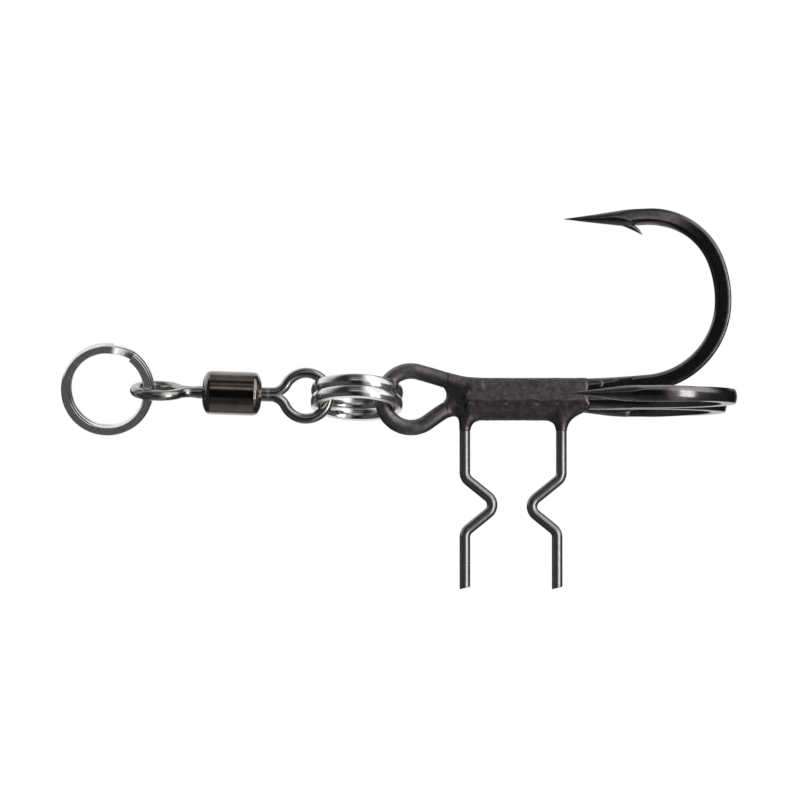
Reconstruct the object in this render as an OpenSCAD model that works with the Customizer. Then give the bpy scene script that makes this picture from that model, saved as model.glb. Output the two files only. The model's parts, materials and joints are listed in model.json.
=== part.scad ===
/* [Split rings] */
// Outside diameter of both split rings
ring_od = 8.52; // [8.4:0.02:8.6]
// Radial thickness of the flattened ring wire
ring_radial = 0.88; // [0.76:0.01:0.92]
// Axial thickness of one coil
ring_coil = 1.04; // [0.9:0.01:1.06]
// Chamfer on the corners of the ring wire
ring_chamfer = 0.28; // [0.2:0.01:0.34]
// Angle at which the line ring's front coil ends
line_ring_end = 55; // [45:1:65]
// Angle at which the hook ring's front coil ends
hook_ring_end = 325; // [310:1:340]
// Arc over which the ring wire crosses from one coil to the other
ring_cross = 30; // [24:1:40]

/* [Swivel] */
// Diameter of the swivel eye wire
eye_wire = 0.96; // [0.86:0.01:0.98]
// Inside diameter of each swivel eye
eye_hole = 3.26; // [3.24:0.02:3.4]
// Distance from an eye's centre to the barrel's end
eye_reach = 4.1; // [4:0.05:4.6]
// Diameter of the squeezed neck that turns in the barrel
neck_d = 1.32; // [1.2:0.01:1.4]
// Running clearance round the neck
neck_clearance = 0.04; // [0.02:0.01:0.08]
// Diameter of the barrel
barrel_d = 4.02; // [3.8:0.02:4.4]
// Length of the barrel
barrel_len = 5.44; // [5.2:0.02:6]
// Length of each rolled-over barrel end
barrel_roll = 0.75; // [0.5:0.05:0.9]
// Wall thickness of the barrel
barrel_wall = 0.5; // [0.4:0.02:0.56]
// Diameter of the upset head on each eye
head_d = 2.6; // [2.3:0.05:2.7]
// Thickness of the upset head on each eye
head_h = 0.9; // [0.7:0.05:1]

/* [Treble eye] */
// Diameter of the hook wire
hook_wire = 1.48; // [1.4:0.01:1.5]
// Diameter of the wire where it is drawn round the eye
treble_eye_wire = 1.45; // [1.36:0.01:1.46]
// Inside diameter of the treble's eye
treble_hole = 3.76; // [3.74:0.01:3.84]
// Angle from the top of the eye to where the upper arm leaves it
upper_arm_at = 110; // [106:1:114]
// Angle from the top of the eye to where the lower arm leaves it
lower_arm_at = 126; // [122:1:130]

/* [Hooks] */
// Distance of the upper shank from the eye's centre line
upper_shank = 1.17; // [1.15:0.01:1.3]
// Distance of the side shanks behind the eye's centre line
side_shank_drop = 0.2; // [0.18:0.01:0.26]
// Sideways distance of the side shanks from the middle
side_shank_offset = 0.76; // [0.76:0.01:0.8]
// Depth below the eye's centre at which the shanks start to bend
shank_len = 14.45; // [14:0.05:15]
// Bend radius of the back of the hook
bend_r = 7.6; // [7:0.1:8]
// Length of the point leg
leg_len = 7.75; // [7.5:0.05:8.2]
// Thickness of the wire across its forged flats
forged_t = 1.36; // [1.2:0.02:1.4]
// Length of the ground point
point_len = 5.6; // [5:0.1:6]
// Distance from the point to the barb's tip
barb_at = 7.1; // [6.8:0.05:7.2]
// Height of the barb above the wire
barb_h = 0.9; // [0.6:0.05:1]
// Length of the cut that raised the barb
barb_len = 2.6; // [2:0.1:3]

/* [Bait spikes] */
// Diameter of the spike wire
spike_d = 0.98; // [0.9:0.01:0.98]
// Depth below the eye's centre of the front spike
front_spike_z = 4.95; // [4.8:0.05:5.2]
// Depth below the eye's centre of the rear spike
rear_spike_z = 13.83; // [13.6:0.01:14]
// Distance from the eye's centre line to the spike wire under the shanks
spike_crown = 1.43; // [1.42:0.01:1.5]
// Distance from the eye's centre line to the spikes' ends
spike_reach = 17.48; // [17:0.01:18]
// Distance from the eye's centre line to the start of the kinks
kink_start = 6.75; // [6.6:0.05:7]
// Length of one kink's sloping straight
kink_straight = 2.29; // [2:0.01:2.4]
// Turn at each corner of a kink
kink_turn = 51; // [46:1:52]
// Bend radius of the spike wire
kink_r = 0.98; // [0.9:0.02:1.1]
// Distance by which the rear spike's end stands nearer the front spike than its root
rear_kink_shift = 0.4; // [0:0.05:0.5]

/* [Braze] */
// Depth below the eye's centre at which the braze starts
braze_top = 4.2; // [4:0.1:4.4]
// Depth below the eye's centre at which the braze ends
braze_end = 16.3; // [15.8:0.1:16.6]
// Thickness of the braze over the wires
braze_skin = 0.08; // [0.04:0.01:0.1]

/* [Hanging pose] */
// Turn of the line ring about the chain
line_ring_roll = 13; // [0:0.5:20]
// Turn of the line eye about the chain
line_eye_roll = 15; // [0:0.5:20]
// Lean of the line ring along the chain
line_ring_lean = 2.5; // [0:0.5:5]
// Turn of the hook ring about the chain
hook_ring_roll = 13.7; // [0:0.1:20]
// Lean of the treble
treble_lean = 1.93; // [0:0.01:4]
// Least gap between linked pieces
link_gap = 0.07; // [0.05:0.01:0.08]

/* [Hidden] */

$fn = 48;
sides = 12;
coil_gap = 0.03;
ring_sides = 8;
ring_step = 9;
arc_step = 15;

ring_inner = ring_od / 2 - ring_radial;
ring_mid = ring_od / 2 - ring_radial / 2;
ring_half = ring_coil + coil_gap / 2;
coil_at = (ring_coil + coil_gap) / 2;
ring_sweep = 720 - ring_cross;

eye_mid = (eye_hole + eye_wire) / 2;
treble_mid = (treble_hole + treble_eye_wire) / 2;

// Distance from an eye's centre to the ring surface that it hangs on
function hang(hole_d) =
    ring_chamfer + sqrt(pow(hole_d / 2 - ring_chamfer - link_gap, 2) - pow(ring_half - ring_chamfer, 2));

line_eye_z = -ring_inner - hang(eye_hole) + ring_half * sin(line_ring_lean);
barrel_z = line_eye_z - eye_reach - barrel_len / 2;
hook_eye_z = barrel_z - barrel_len / 2 - eye_reach;
hook_ring_z = hook_eye_z - hang(eye_hole) - ring_inner;
treble_z = hook_ring_z - ring_inner - hang(treble_hole);

function unit(v) = v / norm(v);
function mix(a, b, f) = a * (1 - f) + b * f;
function smooth(f) = f * f * (3 - 2 * f);
function reversed(list) = [for (i = [len(list) - 1:-1:0]) list[i]];

// ---- Swept solids ----

// Triangles of a swept tube of n rings with k points each, closed at both ends
function tube_faces(n, k) = concat(
    [[for (i = [0:k - 1]) i]],
    [for (r = [0:n - 2], i = [0:k - 1]) let(j = (i + 1) % k) [r * k + i, (r + 1) * k + j, r * k + j]],
    [for (r = [0:n - 2], i = [0:k - 1]) let(j = (i + 1) % k) [r * k + i, (r + 1) * k + i, (r + 1) * k + j]],
    [[for (i = [k - 1:-1:0]) (n - 1) * k + i]]);

// ---- Split ring, about the Y axis, front coil towards -Y ----

// Outline of the flattened wire, as [radial, axial]
ring_outline = let(a = ring_radial / 2, b = ring_coil / 2, c = ring_chamfer)
    [[a, b - c], [a - c, b], [c - a, b], [-a, b - c], [-a, c - b], [c - a, -b], [a - c, -b], [a, c - b]];

// Axial place of the wire after it has gone round by angle t
function coil_y(t) = let(f = (t - 360 + ring_cross) / ring_cross)
    mix(-coil_at, coil_at, smooth(max(0, min(1, f))));

module split_ring(end_angle) {
    n = ceil(ring_sweep / ring_step);
    points = [for (i = [0:n], p = ring_outline)
        let(t = ring_sweep * i / n, a = end_angle + t, r = ring_mid + p[0])
        [r * cos(a), coil_y(t) + p[1], r * sin(a)]];
    polyhedron(points, tube_faces(n + 1, ring_sides));
}

// ---- Centre lines ----

// Points of a wire along straights [length, 0] and arcs [radius, turn], as [along, out, heading]
function run_points(run, p, i = 0) = i == len(run) ? [] :
    let(size = run[i][0], turn = run[i][1], n = max(1, ceil(abs(turn) / arc_step)),
        pts = [for (k = [1:n]) let(h = p[2] + turn * k / n)
            turn == 0 ? [p[0] + size * cos(h), p[1] + size * sin(h), h] :
            [p[0] + sign(turn) * size * (sin(h) - sin(p[2])),
             p[1] - sign(turn) * size * (cos(h) - cos(p[2])), h]])
    concat(pts, run_points(run, pts[n - 1], i + 1));

// ---- Swivel ----

// Bend radius of the two legs where they leave the eye, and where they end up
leg_r = 1.5;
leg_offset = neck_d / 2 - eye_wire / 2;
leg_z = sqrt(pow(eye_mid + leg_r, 2) - pow(leg_offset + leg_r, 2));
leg_turn = acos((leg_offset + leg_r) / (eye_mid + leg_r));
// Distance from the eye's centre to the upset head, which turns just inside the barrel's end
head_clearance = 0.06;
head_z = eye_reach + barrel_wall + head_clearance;
// How far the neck's cylinder runs into its neighbours
neck_overlap = 0.1;

// One eye of the swivel in the XZ plane, its centre at the origin and its neck upwards
module swivel_eye() {
    wire_r = eye_wire / 2;
    rotate([90, 0, 0]) rotate([0, 0, 180 - leg_turn])
        rotate_extrude(angle = 180 + 2 * leg_turn) translate([eye_mid, 0]) circle(r = wire_r);
    for (m = [0, 1]) mirror([m, 0, 0])
        translate([leg_offset + leg_r, 0, leg_z]) rotate([90, 0, 0]) rotate([0, 0, 180])
            rotate_extrude(angle = leg_turn) translate([leg_r, 0]) circle(r = wire_r);
    translate([0, 0, leg_z - neck_overlap]) cylinder(d = neck_d, h = head_z - leg_z + 2 * neck_overlap);
    translate([0, 0, head_z]) cylinder(d = head_d, h = head_h);
}

barrel_hole = neck_d / 2 + neck_clearance;
// Radius at which the barrel's rolled-over ends become flat
barrel_lip = 0.9;

// Outline of one rolled-over end, as [radius, height]
rolled_end = [for (a = [0:15:90])
    [barrel_lip + (barrel_d / 2 - barrel_lip) * cos(a), barrel_len / 2 - barrel_roll * (1 - sin(a))]];

// Barrel about the Z axis, its middle at the origin
module barrel_body() {
    difference() {
        rotate_extrude() polygon(concat(
            rolled_end, [[0, barrel_len / 2], [0, -barrel_len / 2]],
            [for (p = reversed(rolled_end)) [p[0], -p[1]]]));
        cylinder(d = barrel_d - 2 * barrel_wall, h = barrel_len - 2 * barrel_wall, center = true);
        cylinder(r = barrel_hole, h = barrel_len + 1, center = true);
    }
}

// ---- Hooks, in the treble's frame: eye centre at the origin, shanks downwards ----

// Bend radii, against bend_r, at the bottom of the hook and where it turns into the leg
bottom_bend = 1.34;
leg_bend = 0.83;
// Bend of a hook from the shank's end to the leg: [radius, angle, steps]
hook_arcs = [[80, 5.3, 2], [bend_r, 83.6, 12], [bottom_bend * bend_r, 22, 3], [leg_bend * bend_r, 71.9, 11]];
leg_r_back = 160;
// Bend stations over which the round shank becomes the forged section
forge_stations = 6;

// Centre line of the bend as [sideways, down, heading, length so far]
function bend_points(p, i = 0) = i == len(hook_arcs) ? [] :
    let(r = hook_arcs[i][0], a = hook_arcs[i][1], n = hook_arcs[i][2],
        pts = [for (k = [1:n]) let(h = p[2] + a * k / n)
            [p[0] + r * (cos(p[2]) - cos(h)), p[1] + r * (sin(h) - sin(p[2])), h]])
    concat(pts, bend_points(pts[n - 1], i + 1));

// Wire half sizes as [in the bend's plane, across it, barb]
round_eye = [treble_eye_wire / 2, treble_eye_wire / 2, 0];
round_shank = [hook_wire / 2, hook_wire / 2, 0];

// The same at distance s from the point
point_half = 0.04;
bend_half = 0.77;
function barb_rise(s) = s > barb_at ? 0 : barb_h * max(0, 1 - (barb_at - s) / barb_len);
function leg_half(s) = min(bend_half, point_half + (bend_half - point_half) * s / point_len);
function leg_section(s) = [leg_half(s), min(leg_half(s), forged_t / 2), barb_rise(s)];

// Length over which the barb's back edge drops to the wire
barb_drop = 0.06;
// Stations along the leg by distance from the point: the barb's edge, its cut, then the ground point
leg_stations = concat([barb_at + barb_drop, barb_at],
    [for (f = [0.25, 0.5, 0.75]) barb_at - f * barb_len],
    [for (f = [0.64, 0.52, 0.4, 0.28, 0.16, 0.06, 0]) f * point_len]);

// Stations of one hook as [sideways, down, section], from the eye's end of the shank to the point
function hook_stations(shank, top) = let(
    start = [shank, shank_len, 0],
    bend = bend_points(start),
    last = bend[len(bend) - 1],
    n = len(bend))
    concat(
        [for (z = [top, shank_len]) [shank, z, round_shank]],
        [for (i = [0:n - 1]) let(f = min(1, i / forge_stations))
            [bend[i][0], bend[i][1],
             [mix(hook_wire / 2, bend_half, f), mix(hook_wire / 2, forged_t / 2, f), 0]]],
        [for (s = leg_stations) let(
            a = (leg_len - s) / leg_r_back * 180 / PI, h = last[2] - a)
            [last[0] - leg_r_back * (cos(last[2]) - cos(h)), last[1] + leg_r_back * (sin(last[2]) - sin(h)),
             leg_section(s)]]);

// Places stations of a hook that opens towards direction d, at offset o: [point, binormal, section]
function place(stations, d, o) = [for (s = stations)
    [o + d * s[0] + [0, 0, -s[1]], cross([0, 0, 1], d), s[2]]];

module swept_wire(stations) {
    n = len(stations);
    points = [for (i = [0:n - 1]) let(
        t = unit(stations[min(i + 1, n - 1)][0] - stations[max(i - 1, 0)][0]),
        outer = unit(cross(stations[i][1], t)),
        across = cross(t, outer),
        section = stations[i][2])
        for (k = [0:sides - 1]) let(
            a = 360 * k / sides,
            u = section[0] * cos(a) - (k == sides / 2 ? section[2] : 0),
            v = max(-section[1], min(section[1], section[0] * sin(a))))
        stations[i][0] + outer * u + across * v];
    polyhedron(points, tube_faces(n, sides));
}

// Depth at which the eye's two arms have become straight shanks, and the overlap of the stations there
arms_meet = 6.4;
shank_top = arms_meet + 0.4;
// Depth of the cut end of the single hook's shank
near_shank_top = 5.6;

// Upper arm: from the upper shank out to the eye, fuller near the eye by arm_sweep
arm_sweep = 0.9;
upper_arm_end = treble_mid * [sin(upper_arm_at), 0, cos(upper_arm_at)];
upper_arm = [for (f = [0:0.2:1]) let(
    x = mix(upper_shank, upper_arm_end[0], f * f * (1 + arm_sweep - arm_sweep * f)),
    z = mix(-arms_meet, upper_arm_end[2], f))
    [[x, 0, z], [0, -1, 0], mix(round_shank, round_eye, f)]];

// The eye's round part
eye_step = 11.7;
eye_arc = [for (a = [upper_arm_at - eye_step:-eye_step:1 - lower_arm_at])
    [treble_mid * [sin(a), 0, cos(a)], [0, -1, 0], round_eye]];

// Lower arm: from the eye back into the groove and down to the far side shank, by its two end pulls
arm_pull = 2.4;
shank_pull = 2.2;
side_start = [-side_shank_drop, side_shank_offset, -arms_meet];
arm_start = treble_mid * [sin(-lower_arm_at), 0, cos(lower_arm_at)];
arm_dir = [-cos(lower_arm_at), 0, -sin(lower_arm_at)];
function bezier(p, f) = p[0] * pow(1 - f, 3) + 3 * p[1] * f * pow(1 - f, 2)
    + 3 * p[2] * f * f * (1 - f) + p[3] * pow(f, 3);
lower_arm = [for (f = [0:0.125:1])
    [bezier([arm_start, arm_start + arm_pull * arm_dir, side_start + [0, 0, shank_pull], side_start], f),
     mix([0, -1, 0], [-1, 0, 0], f), mix(round_eye, round_shank, f)]];

upper_hook = hook_stations(upper_shank, shank_top);
near_hook = hook_stations(side_shank_offset, near_shank_top);
far_hook = hook_stations(side_shank_offset, shank_top);

double_hook_path = concat(
    reversed(place(upper_hook, [1, 0, 0], [0, 0, 0])),
    upper_arm, eye_arc, lower_arm,
    place(far_hook, [0, 1, 0], [-side_shank_drop, 0, 0]));

// ---- Bait spikes ----

// How far the bent wire runs into its straight ends, and how much thinner it is there
pin_overlap = 0.2;
pin_skin = 0.005;

crown_half = (rear_spike_z - front_spike_z) / 2;
crown_z = (rear_spike_z + front_spike_z) / 2;
kink_drop = 2 * kink_straight * cos(kink_turn) + 4 * kink_r * sin(kink_turn);
pin_start = kink_start + kink_drop;

// Half of the bent wire, from the middle of the crown to the spike's straight end, shifted inwards
function spike_half(shift) = let(a = shift / 2 / sin(kink_turn)) run_points([
    [crown_half - kink_r, 0], [kink_r, 90],
    [kink_start - spike_crown - kink_r, 0], [kink_r, kink_turn], [kink_straight + a, 0],
    [kink_r, -2 * kink_turn], [kink_straight - a, 0], [kink_r, kink_turn], [pin_overlap, 0]], [0, 0, 0]);

// Stations of the bent wire, from the front spike round the crown to the rear spike
spike_section = [spike_d / 2 - pin_skin, spike_d / 2 - pin_skin, 0];
spike_path = [for (p = concat(
        reversed(spike_half(0)),
        [for (q = spike_half(rear_kink_shift)) [-q[0], q[1]]]))
    [[-spike_crown - p[1], 0, p[0] - crown_z], [0, 1, 0], spike_section]];

// Where the three shanks run, as [out, sideways]
shanks = [[upper_shank, 0], [-side_shank_drop, side_shank_offset], [-side_shank_drop, -side_shank_offset]];

// Holds a solid of the treble's frame in its hanging pose
module hung_treble() {
    translate([0, 0, treble_z]) rotate([0, -treble_lean, 0]) children();
}

module line_split_ring() {
    color("silver") rotate([-line_ring_lean, 0, -line_ring_roll]) mirror([1, 0, 0])
        split_ring(270 - line_ring_end);
}

module swivel_line_eye() {
    color("dimgray") translate([0, 0, line_eye_z]) rotate([0, 0, 90 - line_eye_roll])
        mirror([0, 0, 1]) swivel_eye();
}

module swivel_barrel() {
    color("dimgray") translate([0, 0, barrel_z]) barrel_body();
}

module swivel_hook_eye() {
    color("dimgray") translate([0, 0, hook_eye_z]) swivel_eye();
}

module hook_split_ring() {
    color("silver") translate([0, 0, hook_ring_z]) rotate([0, 0, 90 + hook_ring_roll])
        split_ring(hook_ring_end);
}

module eyed_double_hook() {
    color("#3a3a3d") hung_treble() swept_wire(double_hook_path);
}

module single_hook() {
    color("#3a3a3d") hung_treble()
        swept_wire(place(near_hook, [0, -1, 0], [-side_shank_drop, 0, 0]));
}

module spike_wire() {
    color("#4a4a4d") hung_treble() {
        swept_wire(spike_path);
        for (z = [front_spike_z, rear_spike_z - rear_kink_shift])
            translate([-spike_reach, 0, -z]) rotate([0, 90, 0])
                cylinder(d = spike_d, h = spike_reach - pin_start);
    }
}

module braze() {
    color("#333336") hung_treble() difference() {
        hull() {
            for (p = shanks)
                translate([p[0], p[1], -braze_end])
                    cylinder(r = hook_wire / 2 + braze_skin, h = braze_end - braze_top);
            translate([-spike_crown, 0, -braze_end])
                cylinder(r = spike_d / 2 + braze_skin, h = braze_end - braze_top);
        }
        for (p = shanks)
            translate([p[0], p[1], -braze_end - 1])
                cylinder(d = hook_wire, h = braze_end - arms_meet + 1);
    }
}

line_split_ring();
swivel_line_eye();
swivel_barrel();
swivel_hook_eye();
hook_split_ring();
eyed_double_hook();
single_hook();
spike_wire();
braze();
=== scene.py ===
"""Stinger rig with a treble hook: split rings, barrel swivel, brazed treble and bait spikes."""
import json
import math

import bpy
import numpy as np
from mathutils import Matrix, Vector


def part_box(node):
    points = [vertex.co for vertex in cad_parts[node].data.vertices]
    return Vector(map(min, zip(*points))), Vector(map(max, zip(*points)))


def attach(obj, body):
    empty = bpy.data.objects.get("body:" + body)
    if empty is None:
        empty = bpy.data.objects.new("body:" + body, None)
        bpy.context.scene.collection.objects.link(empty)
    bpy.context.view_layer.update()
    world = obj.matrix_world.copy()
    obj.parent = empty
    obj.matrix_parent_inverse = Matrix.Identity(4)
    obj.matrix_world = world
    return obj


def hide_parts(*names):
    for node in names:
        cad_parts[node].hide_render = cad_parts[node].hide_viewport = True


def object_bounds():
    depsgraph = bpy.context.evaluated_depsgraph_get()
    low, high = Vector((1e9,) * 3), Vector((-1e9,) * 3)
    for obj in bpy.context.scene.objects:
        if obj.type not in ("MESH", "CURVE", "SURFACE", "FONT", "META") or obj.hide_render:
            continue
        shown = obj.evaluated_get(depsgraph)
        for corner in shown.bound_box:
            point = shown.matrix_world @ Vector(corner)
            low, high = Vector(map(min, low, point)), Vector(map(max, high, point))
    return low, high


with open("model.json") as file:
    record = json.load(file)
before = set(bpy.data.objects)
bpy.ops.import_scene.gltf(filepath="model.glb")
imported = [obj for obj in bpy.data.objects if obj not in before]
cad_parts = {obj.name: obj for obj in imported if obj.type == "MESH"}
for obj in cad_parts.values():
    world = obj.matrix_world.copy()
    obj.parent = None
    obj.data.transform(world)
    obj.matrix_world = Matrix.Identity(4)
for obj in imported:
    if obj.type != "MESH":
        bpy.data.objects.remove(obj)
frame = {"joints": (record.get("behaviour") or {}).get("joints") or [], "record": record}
cad_box = [list(corner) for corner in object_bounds()]

# ---------------------------------------------------------------- places, from the frame (mm)

MM = 1000.0
X, Y, Z = np.eye(3)
joints = {j["name"]: j for j in frame["joints"]}
mounts = {m["name"]: m for m in frame["record"]["mounts"]}


def place_of(joint):
    return np.array(joints[joint]["pos_m"], float) * MM


def axis_of(joint):
    return np.array(joints[joint]["axis"], float)


def unit(v):
    v = np.asarray(v, float)
    return v / np.linalg.norm(v, axis=-1, keepdims=True)


def mix(a, b, f):
    return a + (b - a) * f


def smooth(f):
    f = np.clip(f, 0.0, 1.0)
    return f * f * (3 - 2 * f)


def cad_box_mm(node):
    low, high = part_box(node)
    return np.array(low) * MM, np.array(high) * MM


barrel_at = place_of("line_eye_spin")
treble_at = place_of("treble_swing")

# The treble's frame: out is sideways towards the upper hook, down is along the shanks
spike_way = np.array(mounts["front_spike"]["axis"], float)
treble_out = unit(-spike_way)
treble_down = unit(np.cross(Y, treble_out))

# ---------------------------------------------------------------- mesh helpers


def circle(r, count):
    a = np.linspace(0, 2 * np.pi, count, endpoint=False)
    return np.stack([r * np.cos(a), r * np.sin(a)], -1)


def tube(rings):
    """Closed tube of quads through rings of points, faces outwards."""
    n, k = rings.shape[:2]
    i, j = np.meshgrid(np.arange(n - 1), np.arange(k), indexing="ij")
    a, b = i * k + j, i * k + (j + 1) % k
    quads = np.stack([a, b, b + k, a + k], -1).reshape(-1, 4)
    spokes = rings[0] - rings[0].mean(axis=0)
    area = np.cross(spokes, np.roll(spokes, -1, axis=0)).sum(axis=0)
    facing = area @ (rings[1] - rings[0]).mean(axis=0)
    faces = [*quads.tolist(), list(range(k))[::-1], list(range((n - 1) * k, n * k))]
    return rings.reshape(-1, 3), faces if facing > 0 else [face[::-1] for face in faces]


def swept(path, binormals, sections, round_end=0.0):
    """Closed tube of quads along path; sections[i] holds (outward, across) pairs for station i."""
    path, sections = np.asarray(path, float), np.asarray(sections, float)
    binormals = np.broadcast_to(np.asarray(binormals, float), path.shape)
    along = unit(np.gradient(path, axis=0))
    outer = unit(np.cross(binormals, along))
    across = np.cross(along, outer)
    if round_end:
        steps = np.radians([0, 30, 60, 90])
        inset, rise = round_end * (1 - np.cos(steps)), round_end * np.sin(steps)
        added = len(steps) - 1
        for end in (0, -1):
            reach = np.abs(sections[end]).max()
            cap_path = [path[end] + along[end] * (1 if end else -1) * (r - round_end) for r in rise]
            cap_sections = [sections[end] * (1 - i / reach) for i in inset]
            if end:
                path = np.concatenate([path[:-1], cap_path])
                sections = np.concatenate([sections[:-1], cap_sections])
                outer = np.concatenate([outer, [outer[-1]] * added])
                across = np.concatenate([across, [across[-1]] * added])
            else:
                path = np.concatenate([cap_path[::-1], path[1:]])
                sections = np.concatenate([cap_sections[::-1], sections[1:]])
                outer = np.concatenate([[outer[0]] * added, outer])
                across = np.concatenate([[across[0]] * added, across])
    return tube(path[:, None] + outer[:, None] * sections[..., :1] + across[:, None] * sections[..., 1:])


def lathed(profile, centre, segments=128):
    """Closed solid of revolution about Z; profile is a closed loop of (radius, height)."""
    profile = np.asarray(profile, float)
    turns = np.linspace(0, 2 * np.pi, segments, endpoint=False)
    r, h = profile[:, 0], profile[:, 1]
    verts = np.stack([np.outer(np.cos(turns), r), np.outer(np.sin(turns), r),
                      np.broadcast_to(h, (segments, len(r)))], -1).reshape(-1, 3) + centre
    k = len(r)
    i, j = np.meshgrid(np.arange(segments), np.arange(k), indexing="ij")
    a, b = i * k + j, i * k + (j + 1) % k
    c, d = (i + 1) % segments * k + (j + 1) % k, (i + 1) % segments * k + j
    return verts, np.stack([a, d, c, b], -1).reshape(-1, 4).tolist()


def surface_of(field, origin, step):
    """Quads of the zero surface of a distance field on a grid (surface nets)."""
    inside = field < 0
    shape = np.array(field.shape) - 1
    corner = [np.array(c) for c in np.ndindex(2, 2, 2)]

    def at(values, c):
        return values[tuple(slice(o, o + s) for o, s in zip(c, shape))]

    # one vertex in each cell that the surface crosses, at the mean of its edges' crossings
    total = sum(at(inside, c).astype(int) for c in corner)
    cells = (total > 0) & (total < 8)
    number = np.full(cells.shape, -1)
    number[cells] = np.arange(cells.sum())
    place, hits = np.zeros((cells.sum(), 3)), np.zeros(cells.sum())
    for c in corner:
        for axis in range(3):
            if c[axis]:
                continue
            d = c + np.eye(3, dtype=int)[axis]
            fa, fb = at(field, c)[cells], at(field, d)[cells]
            cut = (fa < 0) != (fb < 0)
            share = np.where(cut, fa / np.where(cut, fa - fb, 1), 0)
            place += cut[:, None] * (c + share[:, None] * (d - c))
            hits += cut
    verts = origin + step * (np.argwhere(cells) + place / hits[:, None])
    # one quad round each grid edge that the surface crosses, through the four cells beside it
    quads = []
    for axis in range(3):
        u, v = (axis + 1) % 3, (axis + 2) % 3
        low = [slice(1, s) for s in shape]
        low[axis] = slice(0, shape[axis])
        high = list(low)
        high[axis] = slice(1, shape[axis] + 1)
        a, b = inside[tuple(low)], inside[tuple(high)]
        where = np.argwhere(a != b)
        flip = a[a != b]
        where = where + np.array([0 if i == axis else 1 for i in range(3)])
        eu, ev = np.eye(3, dtype=int)[u], np.eye(3, dtype=int)[v]
        ring = [where, where - eu, where - eu - ev, where - ev]
        ids = np.stack([number[tuple(w.T)] for w in ring], -1)
        ids[~flip] = ids[~flip][:, ::-1]
        quads.append(ids)
    return verts, np.concatenate(quads).tolist()


def piece(name, parts, body, nodes, materials, pick=None, *, crease):
    """One visible object from (verts, faces) parts in mm, riding on a body in place of CAD nodes."""
    verts, faces, base = [], [], 0
    for v, f in parts:
        verts.append(v)
        faces += [[i + base for i in face] for face in f]
        base += len(v)
    mesh = bpy.data.meshes.new(name)
    mesh.from_pydata((np.concatenate(verts) / MM).tolist(), [], faces)
    mesh.shade_smooth()
    mesh.set_sharp_from_angle(angle=math.radians(crease))
    for material in materials:
        mesh.materials.append(material)
    if pick is not None:
        mesh.polygons.foreach_set("material_index", np.asarray(pick, np.int32))
    mesh.update()
    made = bpy.data.objects.new(name, mesh)
    bpy.context.scene.collection.objects.link(made)
    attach(made, body)
    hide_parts(*nodes)


# ---------------------------------------------------------------- materials

# Places of a colour Mix node's sockets, whose names its other data types share
MIX_FACTOR, MIX_FIRST, MIX_SECOND, MIX_RESULT = 0, 6, 7, 2


class Nodes:
    """Short helpers for one material's node tree, with coordinates in mm."""

    def __init__(self, name):
        self.material = bpy.data.materials.new(name)
        self.material.use_nodes = True
        self.tree = self.material.node_tree
        self.shader = self.tree.nodes["Principled BSDF"]
        self.coords = self.add("ShaderNodeTexCoord").outputs["Object"]

    def add(self, kind, **inputs):
        node = self.tree.nodes.new(kind)
        for key, value in inputs.items():
            self.put(node, key.replace("_", " "), value)
        return node

    def put(self, node, socket, value):
        target = node.inputs[socket]
        if isinstance(value, bpy.types.NodeSocket):
            self.tree.links.new(value, target)
        else:
            target.default_value = value

    def scaled(self, x, y, z):
        node = self.add("ShaderNodeMapping", Vector=self.coords)
        node.inputs["Scale"].default_value = (x * MM, y * MM, z * MM)
        return node.outputs["Vector"]

    def noise(self, vector, detail, roughness=0.6):
        return self.add("ShaderNodeTexNoise", Vector=vector, Scale=1.0, Detail=detail,
                        Roughness=roughness).outputs["Fac"]

    def remap(self, value, low, high, start=0.35, end=0.65):
        """Value from start..end to low..high; noise keeps mostly between the two defaults."""
        node = self.add("ShaderNodeMapRange", Value=value)
        for socket, number in zip(("From Min", "From Max", "To Min", "To Max"), (start, end, low, high)):
            node.inputs[socket].default_value = number
        return node.outputs["Result"]

    def blend_colors(self, fac, a, b):
        node = self.tree.nodes.new("ShaderNodeMix")
        node.data_type = "RGBA"
        self.put(node, MIX_FACTOR, fac)
        for index, color in ((MIX_FIRST, a), (MIX_SECOND, b)):
            self.put(node, index, color if isinstance(color, bpy.types.NodeSocket) else (*color, 1))
        return node.outputs[MIX_RESULT]

    def bump(self, height, strength, distance_mm):
        node = self.add("ShaderNodeBump", Height=height, Strength=strength)
        node.inputs["Distance"].default_value = distance_mm / MM
        self.put(self.shader, "Normal", node.outputs["Normal"])

    def finish(self, color, roughness, metallic=1.0):
        self.put(self.shader, "Base Color", color)
        self.put(self.shader, "Roughness", roughness)
        self.shader.inputs["Metallic"].default_value = metallic
        return self.material


BRAZE_DARK = (0.11, 0.099, 0.101)
EYE_DARKENS = (0.5, 4.2)    # below the eye's centre, from its own tone to the braze's


def satin_black(name, dark, light, rough_low, rough_high, bump, toward_braze=False):
    """Black nickel over forged or brazed steel, mottled and finely pitted; the eye darkens to the braze."""
    n = Nodes(name)
    n.shader.inputs["Specular Tint"].default_value = (0.45, 0.45, 0.45, 1)
    broad = n.noise(n.scaled(2.0, 2.0, 2.0), detail=3)
    fine = n.noise(n.scaled(11, 11, 11), detail=5, roughness=0.75)
    tone = n.blend_colors(n.remap(broad, 0, 1), dark, light)
    tone = n.blend_colors(n.remap(fine, 0, 0.6, 0.5, 0.75), tone, light)
    if toward_braze:
        height = n.add("ShaderNodeSeparateXYZ", Vector=n.coords).outputs["Z"]
        own, braze_tone = ((treble_at[2] - below) / MM for below in EYE_DARKENS)
        tone = n.blend_colors(n.remap(height, 1, 0, start=braze_tone, end=own), tone, BRAZE_DARK)
    n.bump(fine, bump, 0.02)
    return n.finish(tone, n.remap(fine, rough_low, rough_high))


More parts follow.
